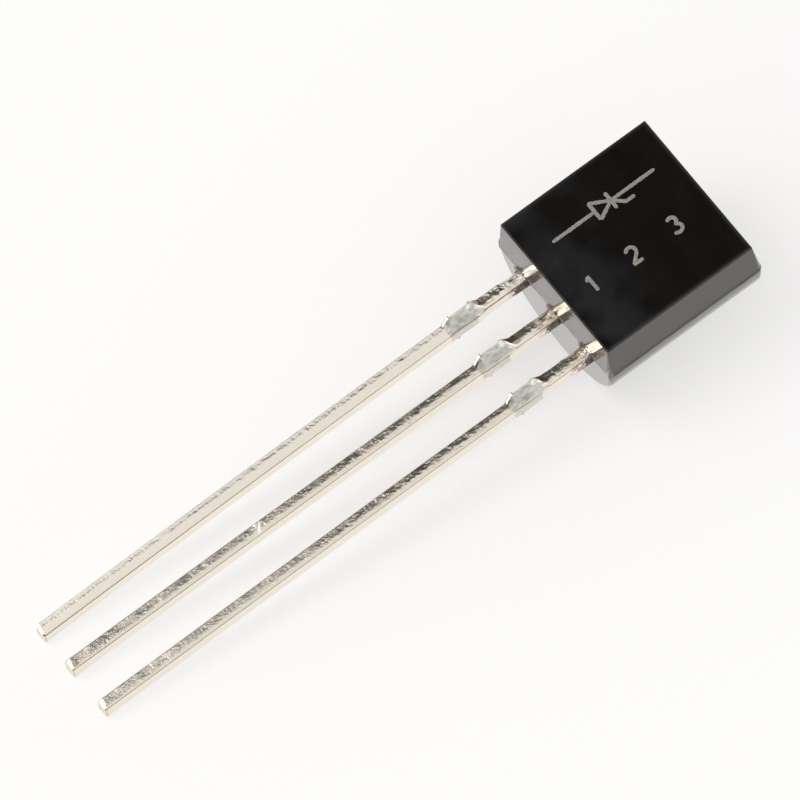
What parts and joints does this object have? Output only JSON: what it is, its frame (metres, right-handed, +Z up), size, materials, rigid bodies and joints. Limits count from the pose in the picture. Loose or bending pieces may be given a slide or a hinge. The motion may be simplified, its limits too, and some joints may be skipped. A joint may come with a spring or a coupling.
{
  "type": "thyristor",
  "caption": "Small-signal thyristor: black moulded half-round plastic body with a flat face, on long straight tin-plated leads in one row.",
  "frame": {"origin": "centre of the part's footprint on the surface it lies on", "axes": "+X across the leads from the anode lead to the cathode lead, +Y from the cut ends of the leads towards the moulded body, +Z up, out of the surface; the flat face looks up"},
  "size_m": [0.0046, 0.0192, 0.0039],
  "materials": {
    "epoxy": "satin gloss, as moulded",
    "tinned_lead": "bright tin plate, lightly scuffed",
    "solder": "matt solder",
    "silicon": "polished, with bright contact areas",
    "bond_wire": "drawn gold wire"
  },
  "bodies": {
    "root": {"epoxy_body": "epoxy", "anode_lead": "tinned_lead", "gate_lead": "tinned_lead", "cathode_lead": "tinned_lead", "die_attach": "solder", "thyristor_die": "silicon", "gate_bond_wire": "bond_wire", "cathode_bond_wire": "bond_wire"}
  },
  "joints": []
}
